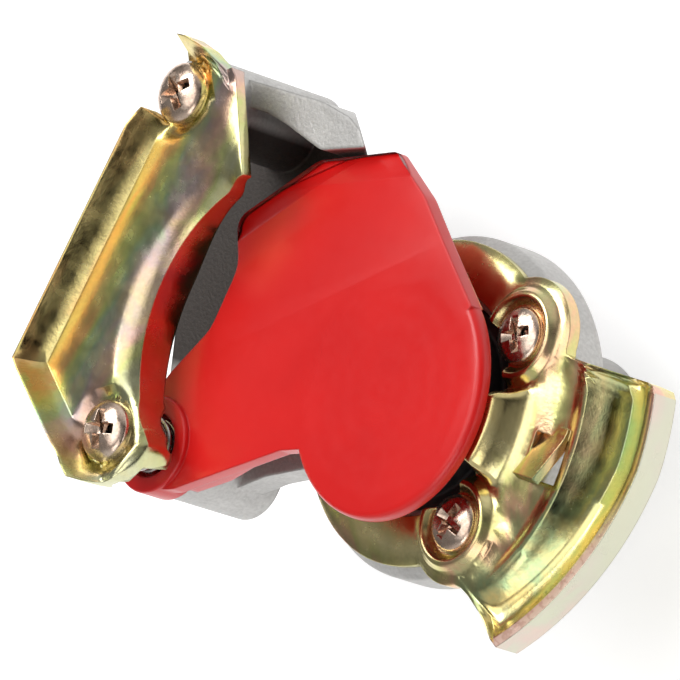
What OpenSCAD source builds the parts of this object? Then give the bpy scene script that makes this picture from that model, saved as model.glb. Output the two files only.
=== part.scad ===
// Palm coupling head for an air brake line.
// Millimetres. The seal axis is +Z and the coupling face looks up.
// The origin is the centre of the mouth of the rear air port.

/* [Air passage] */
// Minor radius of the rear port's thread
port_r = 10.2; // [9.8:0.1:11]
// Depth of the threaded port
port_depth = 16; // [12:1:18]
// Outer radius of the hub round the port
hub_r = 15.5; // [14:0.5:18]
// Radius of the passage between port and seal
passage_r = 9; // [7:0.1:9.2]

/* [Casting] */
// Outer radius of the flange that carries the claw plate
bowl_r = 28; // [27.5:0.1:29]
// Depth of that flange under the machined face
bowl_t = 11; // [8:0.5:12]
// Outer radius of the neck under that flange
neck_r = 22; // [20:0.5:24]
// Height of the machined face above the port's mouth
face_z = 33.5; // [32:0.5:36]
// Radius of the seat for the seal
seat_r = 17.2; // [16.5:0.1:17.6]
// Depth of that seat
seat_depth = 4.5; // [3.5:0.5:6]
// Depth of the pocket floor under the machined face
pocket_drop = 3; // [3:0.5:6]
// Thickness of the pocket floor
floor_t = 5.5; // [4:0.5:5.5]
// Rise of the stop wall above the lid's top
wall_rise = 2; // [1:0.5:5]
// Radius of the post under the bracket screw
post_r = 7; // [6:0.5:8]
// Thickness of the ribs under the pocket floor
rib_t = 4; // [3:0.5:6]

/* [Pressed plates] */
// Thickness of both pressed sheets
sheet_t = 2; // [1.5:0.1:2.2]
// Radius of the claw's lip, from the seal axis
claw_r = 46.6; // [46:0.2:49]
// Depth of the claw's channel under its screw pads
channel_drop = 7.2; // [5:0.2:8]
// Rise of the lip above the channel
lip_rise = 2.8; // [2:0.2:4]
// Rise of the channel and its lip towards the claw's lower end
ramp_rise = 5; // [2:0.5:6]
// Height of the crest between the two screw pads, beside the lid
crest_rise = 5.4; // [5:0.1:5.6]
// Radius of the flat floor under each claw screw's head
pad_r = 5.2; // [5:0.1:5.6]
// Rise of the ridge round that floor
pad_ridge = 1.6; // [0.8:0.1:2]
// Height that the lanced tab stands out of the claw
tab_rise = 3.4; // [2:0.2:4]
// Clearance between the lid's top and the bracket's lower face
bracket_gap = 7.9; // [7:0.1:10]
// Radius of the bracket's concave edge
arc_r = 28.6; // [28:0.2:29.4]
// Depth to which that edge is rolled over
arc_drop = 2.4; // [2:0.2:3]
// Depth of the hem that is turned down under it
arc_hem = 3.6; // [2:0.2:4]
// Height of the flanges that are turned up along the outer edges
fold_h = 5; // [4:0.5:6]
// Bend radius of the flanges
bend_r = 3.6; // [3:0.1:4]
// Depth of the bracket's screw dishes
dish_depth = 1.5; // [1:0.1:2]

/* [Lid] */
// Radius of the lid's disc
lid_r = 21; // [20:0.2:22]
// Thickness of the lid
lid_t = 2.6; // [2.4:0.1:3.4]
// Height of the round plug under the lid, over the seal
plug_h = 2; // [1.4:0.1:2.4]
// Radius of that plug, which passes inside the claw's crest
plug_r = 14; // [12:0.5:14]
// Clearance between the lid's disc and the claw's crest
lid_gap = 0.6; // [0.5:0.1:1.2]
// Height of the pivot boss above the lid's top
boss_rise = 0.9; // [0.6:0.1:2]
// Outer radius of the pivot boss
boss_r = 8; // [7.8:0.1:9]
// Angle at which the lid's thumb wing falls away
wing_fall = 7; // [4:1:9]

/* [Pivot and fasteners] */
// Outer radius of the bush that the lid turns on
bush_r = 3.6; // [3.4:0.05:3.7]
// Radial running clearance of the lid on the bush
bush_fit = 0.05; // [0.02:0.01:0.09]
// Wire diameter of the lid's spring
wire_d = 1.2; // [1:0.1:1.2]
// Outer radius of the spring's coil
coil_r = 4.9; // [4.8:0.05:5]
// Turns of the spring
coil_turns = 4.6; // [3.6:0.5:4.6]
// Shank radius of every screw
shank_r = 2.45; // [2.2:0.05:2.5]
// Head radius of the two bracket screws
big_head_r = 5.1; // [4.8:0.1:5.4]
// Head radius of the two claw screws
small_head_r = 4.65; // [4.4:0.05:4.8]
// Head height of the two claw screws
small_head_h = 2.2; // [1.8:0.1:2.4]

/* [Hidden] */
$fn = 72;
eps = 0.01;

// Heights, from the machined face up
claw_z = face_z + sheet_t;
plate_z = claw_z + crest_rise + lid_gap;
lid_z = plate_z - plug_h;
lid_top = plate_z + lid_t;
pad_z = lid_top + bracket_gap;
panel_z = pad_z + sheet_t + dish_depth;
floor_z = face_z - pocket_drop;
boss_z = lid_z - 0.3;
cup_z = plate_z + 1;
wall_z = lid_top + wall_rise;

// Places of the four screws
pivot = [-48.4, -20.3];
post = [-56.2, 35];
claw_upper = (seat_r + 5.2) * [cos(40.2), sin(40.2)];
claw_lower = (seat_r + 5.9) * [cos(-46.2), sin(-46.2)];

// Clearances
hole_slack = 0.3;
head_slack = 0.4;
shank_slack = 0.05;
seal_gap = 0.3;
wall_gap = 0.4;
big_head_h = 3.1;
seal_bore_r = passage_r + 0.2;
opening_r = seat_r + 1.4;

// The claw plate: its two tails, the lobes of its screw pads and the fan that ends in the lip
tail_from = -134;
tail_to = 104;
fine_from = -74;
fine_to = 70;
rim_blend = 1.2;
tail_r = bowl_r - 1.5;
tail_fall = 0.9;
lobe_r = pad_r + 4.6;
fan_top = 13.6;
fan_flare = [[-0.576, -0.817], 8.8];
crest_r = opening_r + 1.2;
panel_sink = 0.8;
ridge_r = claw_r - 11.4;
channel_r = claw_r - 5.4;
lip_t = sheet_t * 0.8;
tab_at = [30.2, 1.2];
tab_w = 6.2;
tab_l = 7.4;
tab_t = 1.5;
tab_lean = 12;

// The bracket: the centre and the ends of its concave edge, the ridges of its two folds as an outward
// normal with its distance from that centre, the ear round its upper screw and its lower end
arc_c = [-20.5, 1];
arc_from = 121.4;
arc_to = 214;
fold_left = [[-0.977, 0.213], 42.3];
fold_low = [[-0.569, -0.823], 37.9];
fold_w = 2.6;
ear_c = [-54.6, 35.4];
ear_r = 8.6;
ear_end = 141.5;
ear_left = [[-0.941, 0.337], 48];
foot_r = 8.9;
foot_from = 222;
foot_to = 231.7;
hook_y = 40.2;
hook_h = 5.2;
hem_t = 1.1;

function unit(v) = v / norm(v);
function across(d) = [-d[1], d[0]];
function flat(p) = [p[0], p[1]];
function radius(p) = len(p) > 2 ? p[2] : 0;
function backwards(list) = [for (i = [len(list) - 1 : -1 : 0]) list[i]];

// Points of the arc of radius r that rounds corner b between a and c
function corner(a, b, c, r) =
    let (u = unit(a - b), w = unit(c - b), angle = acos(u * w), turn = 180 - angle,
        centre = b + unit(u + w) * r / sin(angle / 2),
        from = b + u * r / tan(angle / 2) - centre,
        to = b + w * r / tan(angle / 2) - centre,
        steps = max(2, ceil(turn / 15)))
    [for (i = [0 : steps]) let (t = i / steps)
        centre + (from * sin((1 - t) * turn) + to * sin(t * turn)) / sin(turn)];

// Closed outline with each corner [x, y, r] rounded by its own radius
function rounded(p) = let (n = len(p))
    [for (i = [0 : n - 1])
        each radius(p[i]) > 0
            ? corner(flat(p[(i + n - 1) % n]), flat(p[i]), flat(p[(i + 1) % n]), p[i][2])
            : [flat(p[i])]];

// Open path with each inner corner [x, y, r] rounded
function bent(p) = let (n = len(p))
    [for (i = [0 : n - 1])
        each i > 0 && i < n - 1 && radius(p[i]) > 0
            ? corner(flat(p[i - 1]), flat(p[i]), flat(p[i + 1]), p[i][2])
            : [flat(p[i])]];

// The same path moved by t to its side, with its bends grown or shrunk to match
function moved(p, t) = let (n = len(p))
    [for (i = [0 : n - 1]) let (
        d0 = unit(flat(p[max(1, i)]) - flat(p[max(1, i) - 1])),
        d1 = unit(flat(p[min(n - 1, i + 1)]) - flat(p[min(n - 1, i + 1) - 1])),
        n0 = across(d0), n1 = across(d1),
        turn = d0[0] * d1[1] - d0[1] * d1[0],
        q = flat(p[i]) + (n0 + n1) * t / (1 + n0 * n1))
        [q[0], q[1], max(0.2, radius(p[i]) - sign(turn) * t)]];

// Section of a bent sheet whose one face follows path p
function sheet(p, t) = concat(bent(p), backwards(bent(moved(p, t))));

// Cross-recess screw with its head's lower face at the origin
module screw(head_r, head_h, reach, turn) {
    rim = 0.35 * head_h;
    recess_w = 0.26 * head_r;
    recess_l = 1.4 * head_r;
    difference() {
        rotate_extrude()
            polygon(concat([[0, -reach], [shank_r - 0.6, -reach], [shank_r, 0.6 - reach], [shank_r, 0],
                [head_r, 0], [head_r, rim]],
                [for (a = [15 : 15 : 90]) [head_r * cos(a), rim + (head_h - rim) * sin(a)]]));
        for (a = [0, 90])
            rotate(turn + a)
                translate([-recess_l / 2, -recess_w / 2, 0.45 * head_h])
                    cube([recess_l, recess_w, head_h]);
    }
}

// Turned outside of the casting, from the hub up to the claw's flange
module casting_turned() {
    rotate_extrude()
        polygon(concat([[0, 0]], bent([[hub_r - 1, 0], [hub_r, 1], [hub_r, port_depth - 4, 3],
            [neck_r, port_depth + 1, 1.5], [neck_r, face_z - bowl_t - 3, 1.5], [bowl_r, face_z - bowl_t + 1, 2],
            [bowl_r, face_z - 2.4, 0.8], [bowl_r - 2.2, face_z]]), [[0, face_z]]));
}

// Outline of the arm that carries the bracket and the lid
module arm_outline() {
    polygon(rounded([[-64, 40.5, 6], [-33, 40.5, 7], [-26, 39.4, 3], [-20, 36.8, 1.2], [-16, 22, 5],
        [-8, 0], [-16, -12, 4], [-36, -19.6, 9],
        [pivot[0] + 1, pivot[1] - boss_r + 2, 4], [-62.6, -19, 5], [-69, 2, 20]]));
}

// Outline of the wall that the lid closes against
module wall_outline() {
    polygon(rounded([[post[0] - 4, 40.5], [-33, 40.5, 7], [-26, 39.4, 3], [-20, 36.8, 1.2],
        [-20.4, 35 + wall_gap, 0.5], [-30, 32.6 + wall_gap, 3], [-40, 35.4, 3], [-45, 36.3, 3],
        [post[0] - 4, 36.3]]));
}

// Half-space under the drafted corner of the arm, behind the lid's wing
module drafted_corner() {
    translate([-25.3, 39.2, wall_z - 1.5])
        rotate([0, 0, 45])
            rotate([0, 38, 0])
                translate([0, -60, -60])
                    cube([80, 120, 120]);
}

// Tapered rib from the neck to a point under the arm
module rib(to) {
    reach = norm(to) - 4;
    foot = port_depth - 2;
    rotate(atan2(to[1], to[0]))
        rotate([90, 0, 0])
            translate([0, 0, -rib_t / 2])
                linear_extrude(rib_t)
                    polygon([[hub_r - 2, foot], [neck_r, foot], [reach, floor_z - floor_t - 1.5],
                        [reach, floor_z - eps], [hub_r - 2, floor_z - eps]]);
}

module housing() {
    color("silver")
    difference() {
        union() {
            casting_turned();
            difference() {
                union() {
                    translate([0, 0, floor_z - floor_t])
                        linear_extrude(floor_t)
                            arm_outline();
                    translate([0, 0, floor_z - floor_t])
                        linear_extrude(wall_z - floor_z + floor_t)
                            wall_outline();
                }
                drafted_corner();
            }
            translate([post[0], post[1], floor_z - floor_t])
                cylinder(r = post_r, h = pad_z - floor_z + floor_t);
            translate([pivot[0], pivot[1], floor_z - floor_t - 3])
                cylinder(r = boss_r - 0.6, h = boss_z - floor_z + floor_t + 3);
            rib(pivot);
            rib(post);
        }
        translate([0, 0, -eps])
            cylinder(r = port_r, h = port_depth + eps);
        cylinder(r = passage_r, h = face_z);
        translate([0, 0, face_z - seat_depth])
            cylinder(r = seat_r, h = seat_depth + eps);
        for (p = [claw_upper, claw_lower])
            translate([p[0], p[1], face_z - 11])
                cylinder(r = shank_r + shank_slack, h = 12);
        translate([post[0], post[1], pad_z - 16])
            cylinder(r = shank_r + shank_slack, h = 17);
        translate([pivot[0], pivot[1], boss_z - 14])
            cylinder(r = shank_r + shank_slack, h = 15);
    }
}

module seal_ring() {
    foot = face_z - seat_depth;
    top = lid_z - seal_gap;
    r = seat_r - 0.1;
    color("dimgray")
        rotate_extrude()
            polygon(bent([[seal_bore_r, foot], [r, foot], [r, face_z - 0.4, 0.6], [r - 2, face_z - 0.4, 0.6],
                [r - 2.4, top - 1.6, 0.6], [r - 1, top - 0.7, 0.4], [r - 1.6, top, 0.5],
                [seal_bore_r + 2.6, top, 0.8], [seal_bore_r, top - 2.4]]));
}

// Solid between two grids of points, with w points in each line
module pressed(upper, lower, w) {
    n = len(upper);
    lines = n / w;
    function at(i, j) = i * w + j;
    function split(a, b, c, d) = [[a, b, c], [a, c, d]];
    faces = [for (i = [0 : lines - 2]) each concat(
        [for (j = [0 : w - 2]) each split(at(i, j), at(i + 1, j), at(i + 1, j + 1), at(i, j + 1))],
        [for (j = [0 : w - 2])
            each split(n + at(i, j), n + at(i, j + 1), n + at(i + 1, j + 1), n + at(i + 1, j))],
        split(at(i, 0), n + at(i, 0), n + at(i + 1, 0), at(i + 1, 0)),
        split(at(i, w - 1), at(i + 1, w - 1), n + at(i + 1, w - 1), n + at(i, w - 1)))];
    ends = [for (j = [0 : w - 2]) each concat(
        split(at(0, j), at(0, j + 1), n + at(0, j + 1), n + at(0, j)),
        split(at(lines - 1, j), n + at(lines - 1, j), n + at(lines - 1, j + 1), at(lines - 1, j + 1)))];
    polyhedron(concat(upper, lower), concat(faces, ends));
}

// Smooth step from 0 at x = a to 1 at x = b
function ease(a, b, x) = let (t = min(1, max(0, (x - a) / (b - a)))) t * t * (3 - 2 * t);

// Radius at which the ray at angle a leaves the half-plane with outward normal n at distance d
function leaves(a, n, d) = let (k = cos(a) * n[0] + sin(a) * n[1]) k > 0.01 ? d / k : 1000;

// Radius at which the ray at angle a leaves the lobe round a screw pad
function lobe(a, p) = let (r = norm(p), turn = a - atan2(p[1], p[0]), off = r * sin(turn))
    abs(turn) < 90 && abs(off) < lobe_r ? r * cos(turn) + sqrt(lobe_r * lobe_r - off * off) : 0;

// Outer edge of the claw plate at angle a: tails, lobes, or the fan that ends in the lip
function claw_edge(a) = max(tail_r, lobe(a, claw_upper), lobe(a, claw_lower),
    min(claw_r, leaves(a, [0, 1], fan_top), leaves(a, fan_flare[0], fan_flare[1])));

// The same edge with its corners blended
function claw_rim(a) = (claw_edge(a - rim_blend) + 2 * claw_edge(a) + claw_edge(a + rim_blend)) / 4;

// Share of the fan's form at angle a, against the tails' form
function fan(a) = ease(38, 24, a) * ease(-62, -50, a);

// Rise of the channel towards the claw's lower end
function ramp(a) = ramp_rise * min(1, max(0, -a / 52));

// Share of the turned-up lip at radius r
function lift(r) = pow(min(1, max(0, (r - channel_r) / (claw_r - lip_t - channel_r))), 1.6);

// Height of the pressed sheet against the machined pads: the tails' fall, or the fan's crest, sunk panel, ridge,
// channel and turned-up lip
function press(x, y) = let (
        r = norm([x, y]), a = atan2(y, x), f = fan(a),
        tail = -tail_fall * pow(max(0, (r - tail_r + 3) / 3), 2),
        crest = crest_rise * ease(crest_r + 4.4, crest_r + 0.6, r) * ease(32, 18, abs(a + 3)),
        panel = -panel_sink * ease(bowl_r - 1, bowl_r + 1, r) * ease(ridge_r, ridge_r - 1.6, r),
        fall = ease(ridge_r + 0.8, channel_r - 2, r),
        reach = (ramp(a) - channel_drop) * fall + lip_rise * lift(r),
        base = f * (crest + panel + reach) + (1 - f) * max(tail, -tail_fall),
        d = min(norm([x, y] - claw_upper), norm([x, y] - claw_lower)))
    base * (1 - ease(lobe_r + 1, pad_r + 3, d));

// Thickness of the sheet along Z, where its slope is steep
function depth(x, y) = let (step = 0.2,
        gx = (press(x + step, y) - press(x - step, y)) / (2 * step),
        gy = (press(x, y + step) - press(x, y - step)) / (2 * step))
    sheet_t * min(1.7, sqrt(1 + gx * gx + gy * gy));

// Height of the sheet's lower face, which lies flat on the casting inside its flange and stays low under the lip
function under(x, y) = let (r = norm([x, y]), z = claw_z + press(x, y) - depth(x, y))
    r < bowl_r + 0.4 ? max(z, face_z)
        : r > channel_r ? claw_z + press(x, y) - fan(atan2(y, x)) * lip_rise * lift(r) - sheet_t : z;

// Radius of row k in a column that ends at radius e: rows past the casting's flange close up first
function row(k, e) = let (mid = bowl_r + 1, stop = min(mid, opening_r + (e - opening_r) * 0.8))
    k <= mid ? opening_r + (k - opening_r) * (stop - opening_r) / (mid - opening_r)
        : stop + (k - mid) * (e - stop) / (claw_r - mid);

// Angle of column i: wide steps in the two tails and fine ones from lobe to lobe
function column(i) = i < 14 ? tail_from + (fine_from - tail_from) * i / 14
    : i < 98 ? fine_from + (fine_to - fine_from) * (i - 14) / 84
    : fine_to + (tail_to - fine_to) * (i - 98) / 6;

// The pressed claw as one sheet: rows run outwards, columns run round the seal
module claw_sheet() {
    knots = [opening_r, crest_r, crest_r + 1.2, crest_r + 2.2, crest_r + 3.2, crest_r + 4.4, bowl_r - 1, bowl_r + 1,
        ridge_r - 3, ridge_r - 1.4, ridge_r, ridge_r + 1, ridge_r + 2, ridge_r + 3.2, channel_r - 2, channel_r,
        channel_r + 1.4, channel_r + 2.6, claw_r - lip_t, claw_r];
    spots = [for (i = [0 : 104]) let (a = column(i), e = claw_rim(a))
        [for (k = knots) row(k, e) * [cos(a), sin(a)]]];
    upper = [for (line = spots, p = line) [p[0], p[1], claw_z + press(p[0], p[1])]];
    lower = [for (line = spots, p = line) [p[0], p[1], under(p[0], p[1])]];
    pressed(upper, lower, len(knots));
}

// Tab that is lanced out of the claw's sunk panel and stands up at its lower end
module lanced_tab() {
    translate([tab_at[0], tab_at[1], claw_z - panel_sink])
        rotate([0, -tab_lean, 0])
            rotate([90, 0, 90])
                translate([0, 0, -tab_w / 2])
                    linear_extrude(tab_w)
                        polygon(sheet([[-tab_l, tab_rise], [0, 0, 4], [1.6, -0.1]], -tab_t));
}

// Round screw pad with a raised ring, which blends into the sheet round it
module claw_pad(p) {
    hole = shank_r + hole_slack;
    translate([p[0], p[1], claw_z])
        rotate_extrude()
            polygon(bent([[hole, -sheet_t], [pad_r + 3.6, -sheet_t], [pad_r + 3.6, -0.3], [pad_r + 2.6, 0.4, 1],
                [pad_r + 1.8, pad_ridge, 0.8], [pad_r + 1, pad_ridge, 0.5], [pad_r, 0, 0.4], [hole, 0]]));
}

module claw_plate() {
    color("goldenrod")
    union() {
        difference() {
            claw_sheet();
            for (p = [claw_upper, claw_lower])
                translate([p[0], p[1], claw_z - 10])
                    cylinder(r = pad_r + 2.8, h = 20);
            translate([tab_at[0] - tab_w / 2 - hole_slack, tab_at[1] - tab_l, claw_z - 20])
                cube([tab_w + 2 * hole_slack, tab_l, 40]);
        }
        difference() {
            union() {
                claw_pad(claw_upper);
                claw_pad(claw_lower);
            }
            translate([0, 0, claw_z - 10])
                cylinder(r = opening_r, h = 20);
        }
        lanced_tab();
    }
}

// Distance of a point from the bracket's arc centre along the outward normal of a fold, past its ridge
function past(x, y, line) = ([x, y] - arc_c) * line[0] - line[1];

// Radius of the ridge of the bracket's folds at angle a round the arc centre
function ridge_at(a, grow) = min(leaves(a, fold_left[0], fold_left[1] + grow),
    leaves(a, fold_low[0], fold_low[1] + grow));

// Radius at which the ray at angle a leaves the ear round the bracket screw
function ear_at(a) = let (c = ear_c - arc_c, off = norm(c) * sin(a - atan2(c[1], c[0])))
    norm(c) * cos(a - atan2(c[1], c[0])) + sqrt(max(0, ear_r * ear_r - off * off));

// Radius at which the ray at angle a meets the far (1) or near (-1) side of the round foot at the pivot
function foot_at(a, side) = let (c = pivot - arc_c, turn = a - atan2(c[1], c[0]) - 360, off = norm(c) * sin(turn))
    norm(c) * cos(turn) + side * sqrt(max(0, foot_r * foot_r - off * off));

// Outer and inner edges of the bracket at angle a
function bracket_out(a) = a < ear_end ? min(ear_at(a), leaves(a, ear_left[0], ear_left[1]))
    : min(ridge_at(a, fold_w), a > arc_to + 4 ? foot_at(a, 1) : 1000);
function bracket_in(a) = a > arc_to ? max(arc_r, foot_at(a, -1)) : arc_r;

// Share of the turned-down edge at angle a: full in the middle and less at both ends
function bow(a) = a < 170 ? ease(130, 170, a) : 1 - pow((a - 170) / 75, 2);

// Depth of the hem under the turned-down edge
function hem(p) = let (q = p - arc_c, a = (atan2(q[1], q[0]) + 360) % 360)
    arc_hem * bow(a) * ease(bracket_in(a) + hem_t + 0.3, bracket_in(a) + hem_t - 0.2, norm(q));

// Height of the pressed bracket against its flat panel
function stamp(x, y) = let (
        p = [x, y] - arc_c, r = norm(p), a = (atan2(p[1], p[0]) + 360) % 360, roll = bend_r + 1,
        bend = -arc_drop * ease(122, 134, a) * pow(max(0, (bracket_in(a) + roll - r) / roll), 2),
        out = max(0, past(x, y, fold_left), past(x, y, fold_low)),
        fold = a < ear_end ? 0 : fold_h * pow(min(1, out / fold_w), 1.4),
        hook = a < ear_end ? hook_h * pow(max(0, y - hook_y) / 4, 1.4) : 0,
        d = min(norm([x, y] - pivot), norm([x, y] - post)),
        dish = ease(big_head_r + 2.6, big_head_r + 0.8, d))
    bend * (1 - dish) + fold + hook - dish_depth * dish;

// Thickness of the bracket along Z, where its slope is steep
function stamp_depth(x, y) = let (step = 0.2,
        gx = (stamp(x + step, y) - stamp(x - step, y)) / (2 * step),
        gy = (stamp(x, y + step) - stamp(x, y - step)) / (2 * step))
    sheet_t * min(2.2, sqrt(1 + gx * gx + gy * gy));

// Height of the bracket's lower face, which is flat where it sits on the post and the bush
function stamp_under(p) = let (z = panel_z + stamp(p[0], p[1]) - stamp_depth(p[0], p[1]),
        d = min(norm(p - pivot), norm(p - post)))
    d < coil_r + 0.2 || d < big_head_r + 4 && norm(p - arc_c) > arc_r + sheet_t + 1 ? max(z, pad_z) : z - hem(p);

// The pressed bracket as one sheet: rows run out from the concave edge, columns run along it
module bracket_sheet() {
    bend_rows = 6;
    panel_rows = 8;
    fold_rows = 4;
    spots = [for (i = [0 : 58]) let (
            a = i < 48 ? arc_from + (foot_from - arc_from) * i / 48
                : foot_from + (foot_to - foot_from) * sin(9 * (i - 48)),
            inner = bracket_in(a), outer = bracket_out(a),
            ridge = a < ear_end ? outer - 5 : min(ridge_at(a, 0), outer - 1),
            start = min(inner + bend_r + 1, ridge - 1))
        [for (r = concat([for (j = [0 : bend_rows - 1]) inner + (start - inner) * j / bend_rows],
                [for (j = [0 : panel_rows - 1]) start + (ridge - start) * j / panel_rows],
                [for (j = [0 : fold_rows]) ridge + (outer - ridge) * j / fold_rows]))
            arc_c + r * [cos(a), sin(a)]]];
    upper = [for (line = spots, p = line) [p[0], p[1], panel_z + stamp(p[0], p[1])]];
    lower = [for (line = spots, p = line) [p[0], p[1], stamp_under(p)]];
    pressed(upper, lower, bend_rows + panel_rows + fold_rows + 1);
}

module guide_bracket() {
    color("darkkhaki")
    difference() {
        bracket_sheet();
        for (p = [pivot, post])
            translate([p[0], p[1], panel_z - 10])
                cylinder(r = shank_r + hole_slack, h = 20);
        for (p = [pivot, post])
            translate([p[0], p[1], pad_z + sheet_t])
                cylinder(r = big_head_r + head_slack, h = 10);
    }
}

// Outline of the lid's arm and thumb wing, beside its disc
module wing_outline() {
    polygon(rounded([[13, 16.5], [2.2, 24.8, 3], [-5.2, 30.8, 8], [-15.2, 36.3, 1.8], [-33.2, 31.4, 4],
        [-47.8, 18.6, 2.5], [-42.4, 11, 5], [-44.2, 0.3, 6], [-50, -8, 6], [pivot[0] - boss_r, pivot[1], 3],
        [pivot[0] - 1.7, pivot[1] - boss_r, 4], [-41, -26, 4], [-19.4, -14.6, 2], [-10, -12], [0, 0]]));
}

// Skirt under the arm's lower edge, deep at the boss and gone at the disc
module arm_skirt() {
    from = [-42, -25.6];
    to = [-25, -17.4];
    d = to - from;
    translate([from[0], from[1], plate_z])
        rotate(atan2(d[1], d[0]))
            translate([0, 2.4, 0])
                rotate([90, 0, 0])
                    linear_extrude(2.2)
                        polygon([[0, 1], [0, -3.6], [norm(d) * 0.45, -3.2], [norm(d), 0], [norm(d), 1]]);
}

module lid() {
    round_r = 1.3;
    color("crimson")
    difference() {
        union() {
            rotate_extrude()
                polygon(concat([[0, lid_z], [plug_r, lid_z], [plug_r, plate_z], [lid_r - 0.4, plate_z],
                    [lid_r, plate_z + 0.4]],
                    bent([[lid_r, plate_z + 0.5], [lid_r - 0.2, lid_top, round_r], [lid_r - 3, lid_top + 0.05]]),
                    [[0, lid_top + 0.05]]));
            translate([0, 0, plate_z])
                linear_extrude(lid_t)
                    wing_outline();
            translate([pivot[0], pivot[1], lid_z])
                cylinder(r = boss_r, h = plug_h + lid_t + boss_rise);
            difference() {
                arm_skirt();
                translate([pivot[0], pivot[1], 0])
                    cylinder(r = boss_r + 0.2, h = lid_z + eps);
            }
        }
        translate([-22.3, 26.8, lid_top])
            rotate(atan2(13.1, 15.7))
                rotate([-wing_fall, 0, 0])
                    translate([-30, 0, 0])
                        cube([60, 30, 10]);
        translate([0, 0, lid_z - eps])
            cylinder(r = plug_r - 1.6, h = 1);
        translate([pivot[0], pivot[1], lid_z - 10])
            cylinder(r = bush_r + bush_fit, h = 40);
        translate([pivot[0], pivot[1], cup_z])
            cylinder(r = coil_r + 0.4, h = 20);
    }
}

// Wire of the lid's spring, swept round its own axis
module lid_spring() {
    wire_r = wire_d / 2;
    mean_r = coil_r - wire_r;
    low = cup_z + wire_r;
    high = pad_z - wire_r - 0.4;
    sides = 8;
    steps = ceil(coil_turns * 20);
    function wire(i) = let (t = i / steps, a = 360 * coil_turns * t)
        [mean_r * cos(a), mean_r * sin(a), low + (high - low) * t];
    function ring(i) = let (a = 360 * coil_turns * i / steps)
        [for (k = [0 : sides - 1]) let (b = 360 * k / sides)
            wire(i) + wire_r * (cos(b) * [cos(a), sin(a), 0] + sin(b) * [0, 0, 1])];
    points = [for (i = [0 : steps]) each ring(i)];
    walls = [for (i = [0 : steps - 1], k = [0 : sides - 1]) let (m = (k + 1) % sides)
        [i * sides + k, (i + 1) * sides + k, (i + 1) * sides + m, i * sides + m]];
    color("gainsboro")
        translate([pivot[0], pivot[1], 0])
            polyhedron(points, concat([[for (k = [0 : sides - 1]) k]], walls,
                [[for (k = [sides - 1 : -1 : 0]) steps * sides + k]]));
}

module pivot_bush() {
    color("gray")
        translate([pivot[0], pivot[1], boss_z])
            difference() {
                cylinder(r = bush_r, h = pad_z - boss_z);
                translate([0, 0, -1])
                    cylinder(r = shank_r + shank_slack, h = pad_z);
            }
}

module pivot_screw() {
    color("tan")
        translate([pivot[0], pivot[1], pad_z + sheet_t])
            screw(big_head_r, big_head_h, pad_z + sheet_t - boss_z + 12, 12);
}

module bracket_screw() {
    color("tan")
        translate([post[0], post[1], pad_z + sheet_t])
            screw(big_head_r, big_head_h, sheet_t + 14, 38);
}

module claw_screw_upper() {
    color("tan")
        translate([claw_upper[0], claw_upper[1], claw_z])
            screw(small_head_r, small_head_h, sheet_t + 10, 25);
}

module claw_screw_lower() {
    color("tan")
        translate([claw_lower[0], claw_lower[1], claw_z])
            screw(small_head_r, small_head_h, sheet_t + 10, 70);
}

housing();
seal_ring();
claw_plate();
guide_bracket();
lid();
lid_spring();
pivot_bush();
pivot_screw();
bracket_screw();
claw_screw_upper();
claw_screw_lower();
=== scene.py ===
"""Looks of a palm coupling head for an air brake line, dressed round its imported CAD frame."""

import logging
import math
from dataclasses import dataclass
from enum import Enum
from typing import Callable

import bmesh
import bpy
from mathutils import Matrix, Vector


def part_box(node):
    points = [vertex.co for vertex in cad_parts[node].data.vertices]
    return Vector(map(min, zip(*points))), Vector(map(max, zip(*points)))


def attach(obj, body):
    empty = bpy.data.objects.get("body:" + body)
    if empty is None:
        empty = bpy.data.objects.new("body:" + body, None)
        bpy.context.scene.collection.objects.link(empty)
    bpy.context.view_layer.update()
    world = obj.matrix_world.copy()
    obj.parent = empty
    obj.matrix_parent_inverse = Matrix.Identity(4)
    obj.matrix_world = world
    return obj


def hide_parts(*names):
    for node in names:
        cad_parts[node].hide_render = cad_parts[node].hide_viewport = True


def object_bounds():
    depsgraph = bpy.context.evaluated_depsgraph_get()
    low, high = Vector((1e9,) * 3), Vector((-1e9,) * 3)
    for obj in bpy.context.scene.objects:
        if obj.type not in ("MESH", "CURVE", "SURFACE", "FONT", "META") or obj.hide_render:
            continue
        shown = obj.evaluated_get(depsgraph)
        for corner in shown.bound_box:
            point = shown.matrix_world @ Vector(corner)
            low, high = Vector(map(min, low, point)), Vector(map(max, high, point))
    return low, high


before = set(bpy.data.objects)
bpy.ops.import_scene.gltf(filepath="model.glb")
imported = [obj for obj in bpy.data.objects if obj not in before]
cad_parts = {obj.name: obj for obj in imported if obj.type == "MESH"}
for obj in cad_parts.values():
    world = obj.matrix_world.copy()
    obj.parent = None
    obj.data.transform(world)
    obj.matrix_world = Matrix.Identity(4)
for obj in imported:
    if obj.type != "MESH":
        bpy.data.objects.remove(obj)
CAD_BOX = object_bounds()
LOG = logging.getLogger("coupling")
MM = 0.001

Colour = tuple[float, float, float]
Point = tuple[float, float, float]


class Body(Enum):
    """Moving bodies of the part."""

    HEAD = "head"
    COVER = "cover"


class Slot(Enum):
    """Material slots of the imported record."""

    CASTING = "cast_aluminium"
    RUBBER = "rubber"
    ZINC = "yellow_zinc"
    LID = "red_plastic"
    STEEL = "spring_steel"
    SCREW = "screw_zinc"


class Run(Enum):
    """Way in which the colours of a zinc film change over a pressing."""

    ACROSS = "across"
    ROUND = "round"


class Part(Enum):
    """Parts of a mesh, named as edit mode's select modes."""

    VERT = "verts"
    EDGE = "edges"
    FACE = "faces"


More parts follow.
